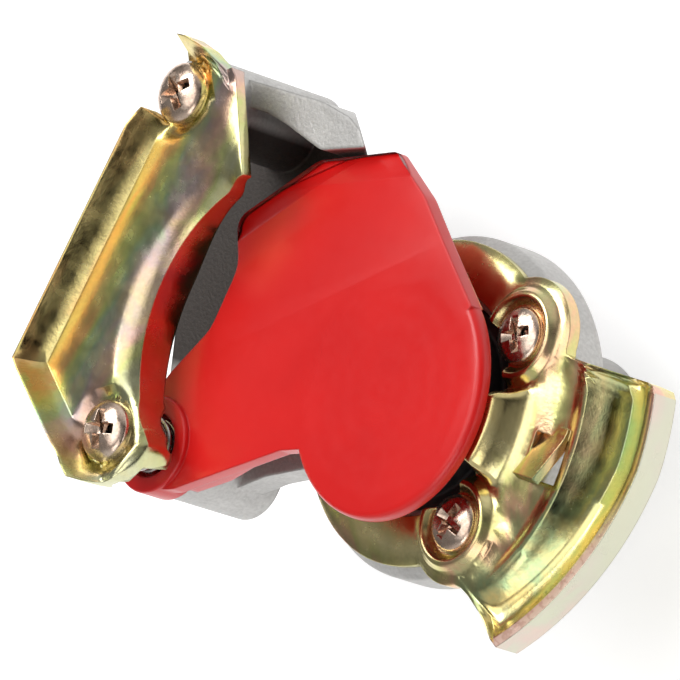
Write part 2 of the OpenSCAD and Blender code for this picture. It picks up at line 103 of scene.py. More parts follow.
class Graph:
    """Node tree of one material, with short calls for the nodes that the finishes share."""

    def __init__(self, name: str) -> None:
        """Starts a material with one Principled shader.

        Args:
            name: Name of the material.
        """
        self.material = bpy.data.materials.new(name)
        self.material.use_nodes = True
        self.tree = self.material.node_tree
        self.tree.nodes.clear()
        self.shader = self.tree.nodes.new("ShaderNodeBsdfPrincipled")
        output = self.tree.nodes.new("ShaderNodeOutputMaterial")
        self.tree.links.new(self.shader.outputs[0], output.inputs["Surface"])
        self.coords = self.tree.nodes.new("ShaderNodeTexCoord").outputs["Object"]
        self.facing = self.tree.nodes.new("ShaderNodeNewGeometry").outputs["Normal"]

    def link(self, source: bpy.types.NodeSocket, target: str) -> None:
        """Joins a socket to an input of the shader.

        Args:
            source: Output socket.
            target: Name of the input.
        """
        self.tree.links.new(source, self.shader.inputs[target])

    def set(self, **values: float | Colour) -> None:
        """Sets constant inputs of the shader.

        Args:
            values: Value of each input, with underscores for the spaces in its name.
        """
        for key, value in values.items():
            socket = self.shader.inputs[key.replace("_", " ")]
            socket.default_value = (*value, 1.0) if isinstance(value, tuple) else value

    def mapped(self, turn: float, scale: Point, centre: Point = (0, 0, 0)) -> bpy.types.NodeSocket:
        """Object coordinates, turned about +Z and stretched.

        Args:
            turn: Angle in degrees.
            scale: Factor along each turned axis.
            centre: Point in metres that becomes the pattern's origin.

        Returns:
            The vector socket.
        """
        node = self.tree.nodes.new("ShaderNodeMapping")
        node.vector_type = "TEXTURE"
        node.inputs["Location"].default_value = centre
        node.inputs["Rotation"].default_value = (0, 0, math.radians(turn))
        node.inputs["Scale"].default_value = scale
        self.tree.links.new(self.coords, node.inputs["Vector"])
        return node.outputs[0]

    def noise(self, scale: float, detail: float = 3, rough: float = 0.55, warp: float = 0,
              coords: bpy.types.NodeSocket | None = None) -> bpy.types.NodeSocket:
        """Noise value from 0 to 1.

        Args:
            scale: Features per metre.
            detail: Octaves.
            rough: Share of each finer octave.
            warp: Distortion of the pattern.
            coords: Vector socket, or Object coordinates.

        Returns:
            The value socket.
        """
        node = self.tree.nodes.new("ShaderNodeTexNoise")
        node.inputs["Scale"].default_value = scale
        node.inputs["Detail"].default_value = detail
        node.inputs["Roughness"].default_value = rough
        node.inputs["Distortion"].default_value = warp
        self.tree.links.new(coords or self.coords, node.inputs["Vector"])
        return node.outputs[0]

    def ramp(self, value: bpy.types.NodeSocket, stops: list[tuple[float, Colour]]) -> bpy.types.NodeSocket:
        """Colour along a list of stops.

        Args:
            value: Socket with values from 0 to 1.
            stops: Place and colour of each stop.

        Returns:
            The colour socket.
        """
        node = self.tree.nodes.new("ShaderNodeValToRGB")
        elements = node.color_ramp.elements
        while len(elements) < len(stops):
            elements.new(1.0)
        for element, (place, colour) in zip(elements, stops):
            element.position = place
            element.color = (*colour, 1.0)
        self.tree.links.new(value, node.inputs[0])
        return node.outputs[0]

    def span(self, value: bpy.types.NodeSocket, low: float, high: float,
             start: float = 0.3, end: float = 0.7) -> bpy.types.NodeSocket:
        """Maps a value from start..end to low..high.

        Args:
            value: Value socket.
            low: Result at start.
            high: Result at end.
            start: Value that gives low.
            end: Value that gives high.

        Returns:
            The value socket.
        """
        node = self.tree.nodes.new("ShaderNodeMapRange")
        for key, number in (("From Min", start), ("From Max", end), ("To Min", low), ("To Max", high)):
            node.inputs[key].default_value = number
        self.tree.links.new(value, node.inputs[0])
        return node.outputs[0]

    def mix(self, factor: bpy.types.NodeSocket, first: bpy.types.NodeSocket | Colour,
            second: bpy.types.NodeSocket | Colour, how: str = "MIX") -> bpy.types.NodeSocket:
        """Mixes two colours.

        Args:
            factor: Value socket.
            first: Colour at 0, as a socket or as numbers.
            second: Colour at 1, as a socket or as numbers.
            how: Blend type.

        Returns:
            The colour socket.
        """
        node = self.tree.nodes.new("ShaderNodeMix")
        node.data_type = "RGBA"
        node.blend_type = how
        self.tree.links.new(factor, node.inputs[0])
        for index, colour in ((6, first), (7, second)):
            if isinstance(colour, tuple):
                node.inputs[index].default_value = (*colour, 1.0)
            else:
                self.tree.links.new(colour, node.inputs[index])
        return node.outputs[2]

    def math(self, how: str, first: bpy.types.NodeSocket, second: bpy.types.NodeSocket | float = 0.0,
             third: float = 0.0) -> bpy.types.NodeSocket:
        """One Math node.

        Args:
            how: Operation.
            first: First value.
            second: Second value, as a socket or a number.
            third: Third value.

        Returns:
            The value socket.
        """
        node = self.tree.nodes.new("ShaderNodeMath")
        node.operation = how
        self.tree.links.new(first, node.inputs[0])
        if isinstance(second, (int, float)):
            node.inputs[1].default_value = second
        else:
            self.tree.links.new(second, node.inputs[1])
        node.inputs[2].default_value = third
        return node.outputs[0]

    def both(self, *masks: bpy.types.NodeSocket) -> bpy.types.NodeSocket:
        """Multiplies masks.

        Args:
            masks: Value sockets.

        Returns:
            The value socket of their product.
        """
        total = masks[0]
        for mask in masks[1:]:
            total = self.math("MULTIPLY", total, mask)
        return total

    def parts(self, vector: bpy.types.NodeSocket) -> list[bpy.types.NodeSocket]:
        """Splits a vector.

        Args:
            vector: Vector socket.

        Returns:
            The sockets of its three parts.
        """
        node = self.tree.nodes.new("ShaderNodeSeparateXYZ")
        self.tree.links.new(vector, node.inputs[0])
        return list(node.outputs)

    def bump(self, layers: list[tuple[bpy.types.NodeSocket, float, float]], soft: float = 0.0) -> None:
        """Stacks bump layers on the shader's normal.

        Args:
            layers: Height socket, strength and distance in metres of each layer.
            soft: Radius in metres by which edges look rounded.
        """
        below = None
        if soft > 0:
            node = self.tree.nodes.new("ShaderNodeBevel")
            node.samples = 6
            node.inputs["Radius"].default_value = soft
            below = node.outputs[0]
        for height, strength, distance in layers:
            node = self.tree.nodes.new("ShaderNodeBump")
            node.inputs["Strength"].default_value = strength
            node.inputs["Distance"].default_value = distance
            self.tree.links.new(height, node.inputs["Height"])
            if below is not None:
                self.tree.links.new(below, node.inputs["Normal"])
            below = node.outputs[0]
        self.link(below, "Normal")


@dataclass(frozen=True)
class PassivatedZinc:
    """Yellow passivated zinc on pressed steel, with its drifting interference colours."""

    name: str
    run: Run
    stops: tuple[tuple[float, Colour], ...]
    turn: float = 0.0
    centre: Point = (0.0, 0.0, 0.0)
    span: tuple[float, float] = (0.0, 0.02)
    waver: float = 0.55
    drift: float = 75.0
    sheared: Colour = (0.55, 0.56, 0.47)
    blush: Colour = (0.66, 0.50, 0.46)
    torn: Colour = (0.90, 0.62, 0.52)
    crack: Colour = (0.60, 0.34, 0.26)
    torn_metal: float = 0.35
    torn_w: float = 1.7 * MM
    torn_below: tuple[float, float] = (-14 * MM, -4 * MM)
    tears: float = 120.0
    rim: tuple[float, float] = (0.0604, 0.0607)
    gloss: tuple[float, float] = (0.16, 0.30)

    def material(self) -> bpy.types.Material:
        """Builds the node material.

        Returns:
            The material.
        """
        g = Graph(self.name)
        along = g.mapped(self.turn, (1.0, 2.6, 1.0), self.centre)
        x, y, z = g.parts(along if self.run is Run.ACROSS else g.coords)
        radius = g.math("SQRT", g.math("ADD", g.math("MULTIPLY", x, x), g.math("MULTIPLY", y, y)))
        way = g.span(x if self.run is Run.ACROSS else radius, 0.0, 1.0, *self.span)
        film = g.noise(self.drift, detail=4, warp=0.8, coords=along)
        mixed = g.math("ADD", way, g.span(film, -self.waver, self.waver, 0.2, 0.8))
        colour = g.ramp(mixed, list(self.stops))
        cloud = g.noise(self.drift * 2.3, detail=3, warp=0.4)
        colour = g.mix(g.span(cloud, 0.0, 0.5, 0.45, 0.7), colour, self.stops[0][1])
        speck = g.noise(1500, detail=2)
        colour = g.mix(g.span(speck, 0.0, 0.14), colour, (0.28, 0.22, 0.10))
        edge = g.span(z if self.run is Run.ACROSS else radius, 0.0, 0.85, *self.rim)
        colour = g.mix(edge, colour, g.mix(g.span(film, 0.0, 0.7, 0.45, 0.62), self.sheared, self.blush))
        if self.run is Run.ROUND:
            turns = g.math("MULTIPLY", g.math("ARCTAN2", y, x), self.tears)
            wave = g.math("SINE", g.math("ADD", turns, g.span(g.noise(700, detail=3), -3.0, 3.0)))
            inner = self.rim[0] - self.torn_w
            band = g.both(g.span(radius, 0.0, 0.8, inner, inner + 0.2 * self.torn_w),
                          g.span(radius, 1.0, 0.0, *self.rim), g.span(y, 1.0, 0.0, *self.torn_below))
            colour = g.mix(band, colour, self.torn)
            colour = g.mix(g.both(band, g.span(wave, 0.0, 0.7, 0.2, 0.8)), colour, self.crack)
            g.link(g.span(band, 1.0, self.torn_metal, 0.0, 0.8), "Metallic")
        g.link(colour, "Base Color")
        g.link(g.span(g.noise(260, detail=4), *self.gloss), "Roughness")
        g.set(Metallic=1.0)
        g.bump([(g.noise(85, detail=2), 0.14, 0.0014), (speck, 0.08, 0.0002)], soft=0.0003)
        return g.material


@dataclass(frozen=True)
class ScrewZinc:
    """Thin pinkish zinc on a turned screw head."""

    name: str
    pale: Colour = (0.82, 0.66, 0.54)
    deep: Colour = (0.60, 0.42, 0.32)

    def material(self) -> bpy.types.Material:
        """Builds the node material.

        Returns:
            The material.
        """
        g = Graph(self.name)
        cloud = g.noise(330, detail=3, warp=0.5)
        mark = g.noise(1600, detail=2)
        colour = g.mix(g.span(cloud, 0.0, 0.9), self.pale, self.deep)
        g.link(g.mix(g.span(mark, 0.0, 0.25), colour, (0.22, 0.13, 0.08)), "Base Color")
        g.link(g.span(mark, 0.16, 0.32), "Roughness")
        g.set(Metallic=1.0)
        g.bump([(cloud, 0.10, 0.0006), (mark, 0.08, 0.0002)])
        return g.material


@dataclass(frozen=True)
class MouldedPlastic:
    """Glossy moulded plastic of the lid, with faint turning rings on its disc."""

    name: str
    colour: Colour = (0.76, 0.011, 0.010)
    shade: Colour = (0.68, 0.008, 0.008)
    ring_pitch: float = 0.0042
    disc_r: float = 0.0185

    def material(self) -> bpy.types.Material:
        """Builds the node material.

        Returns:
            The material.
        """
        g = Graph(self.name)
        cloud = g.noise(60, detail=2)
        g.link(g.mix(g.span(cloud, 0.0, 1.0), self.shade, self.colour), "Base Color")
        g.link(g.span(g.noise(500, detail=3), 0.28, 0.33), "Roughness")
        x, y, _ = g.parts(g.coords)
        radius = g.math("SQRT", g.math("ADD", g.math("MULTIPLY", x, x), g.math("MULTIPLY", y, y)))
        wave = g.math("SINE", g.math("MULTIPLY", radius, 2 * math.pi / self.ring_pitch))
        inside = g.span(radius, 1.0, 0.0, self.disc_r - 0.002, self.disc_r)
        g.bump([(g.math("MULTIPLY", wave, inside), 0.03, 0.0003), (g.noise(90, detail=1), 0.03, 0.0008)],
               soft=0.0005)
        g.set(Coat_Weight=0.15, Coat_Roughness=0.2, IOR=1.45)
        return g.material


@dataclass(frozen=True)
class CastMetal:
    """Matt sand-cast aluminium, with painted shade on the floor and inner wall of the hollow under the
    guide bracket.
    """

    name: str
    pale: Colour = (0.60, 0.59, 0.57)
    dark: Colour = (0.40, 0.39, 0.38)
    # Painted shade: near-black colour put on the floor and inner wall of the hollow under the bracket.
    pocket_shade: Colour = (0.085, 0.074, 0.068)
    floor_z: float = 30.5 * MM
    bowl_x: float = -14 * MM
    pocket_y: float = -6 * MM
    wall_y: float = 20 * MM
    wall_z: float = 45.9 * MM

    def material(self) -> bpy.types.Material:
        """Builds the node material.

        Returns:
            The material.
        """
        g = Graph(self.name)
        grain = g.noise(1700, detail=3)
        cloud = g.noise(110, detail=4)
        colour = g.mix(g.span(cloud, 0.0, 0.5), self.pale, self.dark)
        colour = g.mix(g.span(grain, 0.0, 0.35), colour, self.dark)
        x, y, z = g.parts(g.coords)
        _, north, up = g.parts(g.facing)
        left = g.both(g.span(x, 1.0, 0.0, self.bowl_x - MM, self.bowl_x + MM),
                      g.span(y, 0.0, 1.0, self.pocket_y - 2 * MM, self.pocket_y))
        # Painted shade: ground masks the hollow's floor and inner masks its inner wall, both under the
        # bracket.
        ground = g.both(left, g.span(up, 0.0, 1.0, 0.4, 0.6),
                        g.span(z, 1.0, 0.0, self.floor_z + 0.4 * MM, self.floor_z + 0.8 * MM))
        inner = g.both(left, g.span(y, 0.0, 1.0, self.wall_y - MM, self.wall_y),
                       g.span(north, 1.0, 0.0, -0.3, -0.1),
                       g.span(z, 0.0, 1.0, self.floor_z - 0.2 * MM, self.floor_z),
                       g.span(z, 1.0, 0.0, self.wall_z - MM, self.wall_z))
        # Painted shade: both masked faces are mixed to the near-black colour.
        g.link(g.mix(g.math("MAXIMUM", ground, inner), colour, self.pocket_shade), "Base Color")
        g.link(g.span(grain, 0.45, 0.65), "Roughness")
        g.set(Metallic=0.75)
        g.bump([(cloud, 0.25, 0.0006), (grain, 0.45, 0.0002)], soft=0.0008)
        return g.material


@dataclass(frozen=True)
class PlainMetal:
    """Bright drawn steel."""

    name: str
    colour: Colour = (0.62, 0.60, 0.57)

    def material(self) -> bpy.types.Material:
        """Builds the node material.

        Returns:
            The material.
        """
        g = Graph(self.name)
        mark = g.noise(900, detail=3)
        g.link(g.mix(g.span(mark, 0.0, 0.4), self.colour, (0.34, 0.32, 0.30)), "Base Color")
        g.link(g.span(mark, 0.18, 0.36), "Roughness")
        g.set(Metallic=1.0)
        g.bump([(mark, 0.12, 0.0001)])
        return g.material


@dataclass(frozen=True)
class SealRubber:
    """Moulded black rubber."""

    name: str

    def material(self) -> bpy.types.Material:
        """Builds the node material.

        Returns:
            The material.
        """
        g = Graph(self.name)
        grain = g.noise(1200, detail=2)
        g.link(g.mix(g.span(grain, 0.0, 1.0), (0.016, 0.016, 0.017), (0.032, 0.031, 0.030)), "Base Color")
        g.link(g.span(grain, 0.45, 0.62), "Roughness")
        g.bump([(grain, 0.15, 0.0001)])
        return g.material


def only(piece: bpy.types.Object) -> None:
    """Selects one object and makes it active."""
    bpy.ops.object.select_all(action="DESELECT")
    piece.select_set(True)
    bpy.context.view_layer.objects.active = piece


def edited(piece: bpy.types.Object, work: Callable[[], None]) -> None:
    """Runs edit-mode work on one object, with all of its mesh selected.

    Args:
        piece: The object.
        work: Function that calls the mesh operators.
    """
    only(piece)
    bpy.ops.object.mode_set(mode="EDIT")
    bpy.ops.mesh.select_all(action="SELECT")
    work()
    bpy.ops.object.mode_set(mode="OBJECT")


def copy_of(node: str, name: str) -> bpy.types.Object:
    """Copies a CAD node's mesh as a new piece with its triangles joined.

    Args:
        node: CAD node.
        name: Name of the piece.

    Returns:
        The new object.
    """
    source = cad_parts[node]
    piece = bpy.data.objects.new(name, source.data.copy())
    bpy.context.scene.collection.objects.link(piece)
    piece.data.materials.clear()

    def join() -> None:
        """Merges the loose triangles and pairs them."""
        bpy.ops.mesh.customdata_custom_splitnormals_clear()
        bpy.ops.mesh.remove_doubles(threshold=2e-6)
        bpy.ops.mesh.tris_convert_to_quads(face_threshold=math.radians(30),
                                           shape_threshold=math.radians(60))

    edited(piece, join)
    return piece


def smooth(piece: bpy.types.Object, angle: float = 35) -> None:
    """Shades a piece smooth below an angle in degrees."""
    only(piece)
    bpy.ops.object.shade_smooth_by_angle(angle=math.radians(angle))


def place(piece: bpy.types.Object, body: Body, slot: Slot, finish: bpy.types.Material, *nodes: str) -> None:
    """Gives a piece its finish and its body, and hides the CAD nodes that it stands for.

    Args:
        piece: The object.
        body: Body that it rides on.
        slot: Material slot of the record; not used.
        finish: Material.
        nodes: CAD nodes that it replaces.
    """
    piece.data.materials.clear()
    piece.data.materials.append(finish)
    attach(piece, body.value)
    if nodes:
        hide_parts(*nodes)
    LOG.info("%s: %d faces, body %s", piece.name, len(piece.data.polygons), body.value)


def dress(node: str, finish: bpy.types.Material) -> None:
    """Gives a CAD node a better material.

    Args:
        node: CAD node.
        finish: Material.
    """
    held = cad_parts[node]
    if not held.material_slots:
        held.data.materials.append(finish)
    for place_in in held.material_slots:
        place_in.material = finish
    LOG.info("%s: dressed with %s", node, finish.name)


def pick(piece: bpy.types.Object, part: Part, test: Callable[..., bool]) -> None:
    """Selects the parts of the mesh in edit mode that pass a test.

    Args:
        piece: The object.
        part: Kind of part.
        test: Function of one part.
    """
    bpy.ops.mesh.select_mode(type=part.name)
    bpy.ops.mesh.select_all(action="DESELECT")
    mesh = bmesh.from_edit_mesh(piece.data)
    for item in getattr(mesh, part.value):
        item.select_set(test(item))
    if part is Part.VERT:
        mesh.select_flush_mode()
    bmesh.update_edit_mesh(piece.data)


def applied(piece: bpy.types.Object, kind: str, **values: object) -> None:
    """Adds a modifier, sets it and applies it.

    Args:
        piece: The object.
        kind: Type of the modifier.
        values: Its settings.
    """
    only(piece)
    modifier = piece.modifiers.new(kind.lower(), kind)
    for key, value in values.items():
        setattr(modifier, key, value)
    bpy.ops.object.modifier_apply(modifier=modifier.name)


@dataclass
class PressedPlates:
    """Claw plate and guide bracket, pressed from sheet."""

    edge: float = 0.22 * MM
    claw_angles: tuple[float, float] = (72, 50)
    bracket_angles: tuple[float, float] = (55, 38)
    fold: Point = (-61.8 * MM, 10.0 * MM, 0.0)
    fold_turn: float = -12.3
    panel: float = 19 * MM
    opening_r: float = 18.6 * MM
    lip_r: float = 46.6 * MM
    flank: tuple[float, float] = (23.0 * MM, -26.3 * MM)
    flank_r: float = 4.6 * MM

    def claw_finish(self) -> bpy.types.Material:
        """Zinc whose colours run round the seal.

        Returns:
            The material.
        """
        return PassivatedZinc("zinc_on_claw", Run.ROUND, (
            (0.00, (0.74, 0.60, 0.26)), (0.16, (0.80, 0.70, 0.36)), (0.30, (0.58, 0.56, 0.22)),
            (0.42, (0.74, 0.46, 0.28)), (0.52, (0.60, 0.56, 0.28)), (0.64, (0.42, 0.54, 0.28)),
            (0.78, (0.80, 0.62, 0.24)), (0.88, (0.72, 0.68, 0.34)), (1.00, (0.74, 0.48, 0.38))), turn=30,
            span=(self.opening_r, self.lip_r), rim=(self.lip_r - 0.12 * MM, self.lip_r - 0.05 * MM),
            waver=0.30).material()

    def bracket_finish(self) -> bpy.types.Material:
        """Zinc whose colours run across the bracket's panel.

        Returns:
            The material.
        """
        return PassivatedZinc("zinc_on_bracket", Run.ACROSS, (
            (0.00, (0.70, 0.58, 0.24)), (0.14, (0.78, 0.46, 0.18)), (0.28, (0.54, 0.60, 0.20)),
            (0.42, (0.38, 0.50, 0.30)), (0.56, (0.48, 0.38, 0.36)), (0.70, (0.66, 0.42, 0.32)),
            (0.84, (0.52, 0.54, 0.22)), (1.00, (0.60, 0.60, 0.38))), turn=self.fold_turn,
            centre=self.fold, span=(0.0, self.panel), waver=0.34).material()

    def ease_flank(self, piece: bpy.types.Object) -> None:
        """Smooths the steep flank where the lower screw's lobe meets the claw.

        Args:
            piece: The claw's sheet.
        """
        def ease() -> None:
            """Smooths the points round the flank."""
            pick(piece, Part.VERT, lambda v: math.dist(v.co.xy, self.flank) < self.flank_r)
            bpy.ops.mesh.vertices_smooth(factor=0.5, repeat=3)

        edited(piece, ease)

    def build(self) -> None:
        """Makes both sheets from their solids with softened edges."""
        for node, name, finish, (cut, bend) in (
                ("claw_plate", "claw_sheet", self.claw_finish(), self.claw_angles),
                ("guide_bracket", "bracket_sheet", self.bracket_finish(), self.bracket_angles)):
            piece = copy_of(node, name)
            if node == "claw_plate":
                self.ease_flank(piece)
            applied(piece, "BEVEL", width=self.edge, segments=2, limit_method="ANGLE",
                    angle_limit=math.radians(cut))
            smooth(piece, bend)
            place(piece, Body.HEAD, Slot.ZINC, finish, node)


@dataclass
class Casting:
    """Cast body with its seal and the thread in its port."""

    port_r: float = 10.2 * MM
    lead_in: float = 1.6 * MM
    pitch: float = 1.5 * MM
    tooth: float = 0.45 * MM
    turns: int = 8

    def thread(self) -> bpy.types.Object:
        """Winds the ridge of the port's thread.

        Returns:
            The new object.
        """
        bpy.ops.object.select_all(action="DESELECT")
        bpy.ops.mesh.primitive_circle_add(vertices=4, radius=self.tooth, fill_type="NOTHING",
                                          location=(0, 0, 0))
        piece = bpy.context.object
        piece.name = "port_thread"

        def stand() -> None:
            """Turns the tooth upright and moves it out to the bore."""
            bpy.ops.transform.rotate(value=math.pi / 2, orient_axis="X", center_override=(0, 0, 0))
            bpy.ops.transform.translate(value=(self.port_r, 0, self.lead_in))

        def close() -> None:
            """Closes both ends of the ridge."""
            bpy.ops.mesh.remove_doubles(threshold=1e-6)
            bpy.ops.mesh.fill_holes(sides=4)
            bpy.ops.mesh.select_all(action="SELECT")
            bpy.ops.mesh.normals_make_consistent(inside=False)

        edited(piece, stand)
        applied(piece, "SCREW", axis="Z", angle=2 * math.pi, screw_offset=self.pitch, iterations=self.turns,
                steps=40, render_steps=40)
        edited(piece, close)
        return piece

    def build(self) -> None:
        """Dresses the casting and the seal and cuts the thread."""
        grey = CastMetal("cast_grey").material()
        dress("housing", grey)
        dress("seal_ring", SealRubber("seal_black").material())
        ridge = self.thread()
        smooth(ridge, 30)
        place(ridge, Body.HEAD, Slot.CASTING, PlainMetal("thread_cut", (0.66, 0.65, 0.63)).material())


@dataclass
class Cover:
    """Swinging lid with its spring."""

    edge: float = 1.2 * MM
    boss_edge: float = 0.5 * MM
    pivot: tuple[float, float] = (-48.4 * MM, -20.3 * MM)
    boss_r: float = 8.6 * MM
    wing: tuple[tuple[float, float], ...] = ((-15.2 * MM, 36.3 * MM), (-33.2 * MM, 31.4 * MM),
                                             (-47.8 * MM, 18.6 * MM))
    band: float = 4.4 * MM
    band_fall: float = 1.0 * MM

    def lid(self) -> bpy.types.Object:
        """Copies the lid and rounds the edges of its upper side.

        Returns:
            The new object.
        """
        piece = copy_of("lid", "lid_shell")

        def on_boss(edge: bmesh.types.BMEdge) -> bool:
            """True for an edge of the pivot boss."""
            return all(math.dist(v.co.xy, self.pivot) < self.boss_r for v in edge.verts)

        def upper_edge(edge: bmesh.types.BMEdge) -> bool:
            """True for an outer edge between the upper side and a wall."""
            if len(edge.link_faces) != 2 or not edge.is_convex:
                return False
            low, high = sorted(face.normal.z for face in edge.link_faces)
            return high > 0.95 and abs(low) < 0.35

        def round_off() -> None:
            """Joins flat faces and rounds the upper edges, less on the boss."""
            bpy.ops.mesh.dissolve_limited(angle_limit=math.radians(0.5))
            pick(piece, Part.EDGE, lambda edge: upper_edge(edge) and not on_boss(edge))
            bpy.ops.mesh.bevel(offset=self.edge, segments=4, profile=0.5, affect="EDGES",
                               clamp_overlap=True)
            pick(piece, Part.EDGE, lambda edge: upper_edge(edge) and on_boss(edge))
            bpy.ops.mesh.bevel(offset=self.boss_edge, segments=3, profile=0.5, affect="EDGES",
                               clamp_overlap=True)

        def slope_band() -> None:
            """Creases the thumb wing along two edges and lowers the band beyond each crease."""
            for start, end in zip(self.wing, self.wing[1:]):
                along = (Vector(end) - Vector(start)).normalized()
                outward = Vector((along.y, -along.x))
                crease = Vector(start) - outward * self.band
                pick(piece, Part.FACE, lambda face: face.normal.z > 0.9)
                bpy.ops.mesh.bisect(plane_co=(*crease, 0), plane_no=(*outward, 0))
                bpy.ops.mesh.mark_sharp()
                pick(piece, Part.VERT, lambda v: (v.co.xy - crease).dot(outward) > 0.02 * MM and any(
                    face.normal.z > 0.2 for face in v.link_faces))
                bpy.ops.transform.translate(value=(0, 0, -self.band_fall))

        edited(piece, round_off)
        edited(piece, slope_band)
        smooth(piece, 25)
        return piece

    def spring(self) -> bpy.types.Object:
        """Copies the spring with a rounder wire.

        Returns:
            The new object.
        """
        piece = copy_of("lid_spring", "spring_wire")
        applied(piece, "SUBSURF", levels=1, render_levels=1)
        smooth(piece, 60)
        return piece

    def build(self) -> None:
        """Makes and dresses the lid and its spring."""
        place(self.lid(), Body.COVER, Slot.LID, MouldedPlastic("lid_red").material(), "lid")
        steel = PlainMetal("spring_bright").material()
        place(self.spring(), Body.COVER, Slot.STEEL, steel, "lid_spring")
        dress("pivot_bush", steel)


@dataclass
class Screws:
    """Cross-recess pan-head screws."""

    shank_r: float = 2.45 * MM
    big_h: float = 3.1 * MM
    small_h: float = 2.2 * MM
    chamfer: float = 0.6 * MM
    edge: float = 0.1 * MM
    recess: tuple[float, float] = (1.80, 0.40)
    recess_taper: tuple[float, float] = (0.42, 0.62)
    recess_foot: float = 0.32

    def profile(self, head_r: float, head_h: float, reach: float) -> list[tuple[float, float]]:
        """Radius and height of each step from the tip to the crown.

        Args:
            head_r: Radius of the head.
            head_h: Height of the head.
            reach: Length of the shank.

        Returns:
            The steps.
        """
        rim = 0.35 * head_h
        dome = [(head_r * math.cos(math.radians(a)), rim + (head_h - rim) * math.sin(math.radians(a)))
                for a in range(12, 85, 12)]
        return [(self.shank_r - self.chamfer, -reach), (self.shank_r, self.chamfer - reach),
                (self.shank_r, 0.0), (head_r, 0.0), (head_r, rim), *dome]

    def blank(self, name: str, steps: list[tuple[float, float]]) -> bpy.types.Object:
        """Draws the turned blank up from its tip.

        Args:
            name: Name of the piece.
            steps: Radius and height of each step.

        Returns:
            The new object.
        """
        bpy.ops.object.select_all(action="DESELECT")
        bpy.ops.mesh.primitive_circle_add(vertices=48, radius=steps[0][0], fill_type="NGON",
                                          location=(0, 0, 0))
        piece = bpy.context.object
        piece.name = name

        def draw() -> None:
            """Extrudes one step after another."""
            bpy.ops.transform.translate(value=(0, 0, steps[0][1]))
            for (r0, z0), (r1, z1) in zip(steps, steps[1:]):
                bpy.ops.mesh.extrude_region_move(TRANSFORM_OT_translate={"value": (0, 0, z1 - z0)})
                bpy.ops.transform.resize(value=(r1 / r0, r1 / r0, 1), center_override=(0, 0, 0))
            bpy.ops.mesh.select_all(action="SELECT")
            bpy.ops.mesh.normals_make_consistent(inside=False)

        edited(piece, draw)
        return piece

    def driver_form(self, head_r: float, head_h: float) -> bpy.types.Object:
        """Models the tapered cross that the recess is pressed with.

        Args:
            head_r: Radius of the head.
            head_h: Height of the head.

        Returns:
            The new object.
        """
        bpy.ops.object.select_all(action="DESELECT")
        bpy.ops.mesh.primitive_cube_add(size=1, location=(0, 0, 0))
        piece = bpy.context.object
        foot = self.recess_foot * head_h
        length, width = (share * head_r for share in self.recess)

        def shape() -> None:
            """Tapers one wing pair and copies it across."""
            bpy.ops.transform.resize(value=(length, width, head_h), center_override=(0, 0, 0))
            bpy.ops.transform.translate(value=(0, 0, foot + head_h / 2))
            pick(piece, Part.FACE, lambda face: face.normal.z < -0.5)
            bpy.ops.transform.resize(value=(*self.recess_taper, 1), center_override=(0, 0, 0))
            bpy.ops.mesh.select_all(action="SELECT")
            bpy.ops.mesh.duplicate()
            bpy.ops.transform.rotate(value=math.pi / 2, orient_axis="Z", center_override=(0, 0, 0))

        edited(piece, shape)
        return piece

    def model(self, node: str, head_h: float) -> bpy.types.Object:
        """Models one screw round the origin, with its head's lower face at zero.

        Args:
            node: CAD node that gives the radius and the length.
            head_h: Height of the head.

        Returns:
            The new object.
        """
        low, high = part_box(node)
        head_r = (high[0] - low[0]) / 2
        reach = high[2] - low[2] - head_h
        piece = self.blank(node + "_turned", self.profile(head_r, head_h, reach))
        cutter = self.driver_form(head_r, head_h)
        applied(piece, "BOOLEAN", object=cutter, operation="DIFFERENCE", solver="EXACT", use_self=True)
        bpy.data.objects.remove(cutter)
        applied(piece, "BEVEL", width=self.edge, segments=2, limit_method="ANGLE",
                angle_limit=math.radians(40))
        return piece

    def set_in(self, piece: bpy.types.Object, node: str, head_h: float, turn: float) -> None:
        """Moves a screw to its node, with its shank as long as the node's.

        Args:
            piece: The screw round the origin.
            node: CAD node.
            head_h: Height of the head.
            turn: Angle of the recess in degrees.
        """
        low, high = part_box(node)
        seat = high[2] - head_h

        def move() -> None:
            """Stretches the shank and moves the whole screw."""
            mesh = bmesh.from_edit_mesh(piece.data)
            tip = min(v.co.z for v in mesh.verts)
            pick(piece, Part.FACE, lambda face: face.calc_center_median().z < tip + 0.8 * self.chamfer)
            bpy.ops.transform.translate(value=(0, 0, low[2] - seat - tip))
            bpy.ops.mesh.select_all(action="SELECT")
            bpy.ops.transform.rotate(value=math.radians(turn), orient_axis="Z", center_override=(0, 0, 0))
            bpy.ops.transform.translate(value=((low[0] + high[0]) / 2, (low[1] + high[1]) / 2, seat))

        edited(piece, move)
        smooth(piece, 35)

    def build(self) -> None:
        """Models two sizes, copies each once and sets all four in."""
        finish = ScrewZinc("zinc_on_screws").material()
        for head_h, nodes in ((self.big_h, (("bracket_screw", -38.0), ("pivot_screw", -12.0))),
                              (self.small_h, (("claw_screw_upper", -25.0), ("claw_screw_lower", -70.0)))):
            first = self.model(nodes[0][0], head_h)
            second = bpy.data.objects.new(nodes[1][0] + "_turned", first.data.copy())
            bpy.context.scene.collection.objects.link(second)
            for piece, (node, turn) in zip((first, second), nodes):
                self.set_in(piece, node, head_h, turn)
                place(piece, Body.HEAD, Slot.SCREW, finish, node)


@dataclass(frozen=True)
class Lobe:
    """One soft patch of the studio's sky."""

    towards: Point
    start: float
    end: float
    level: float


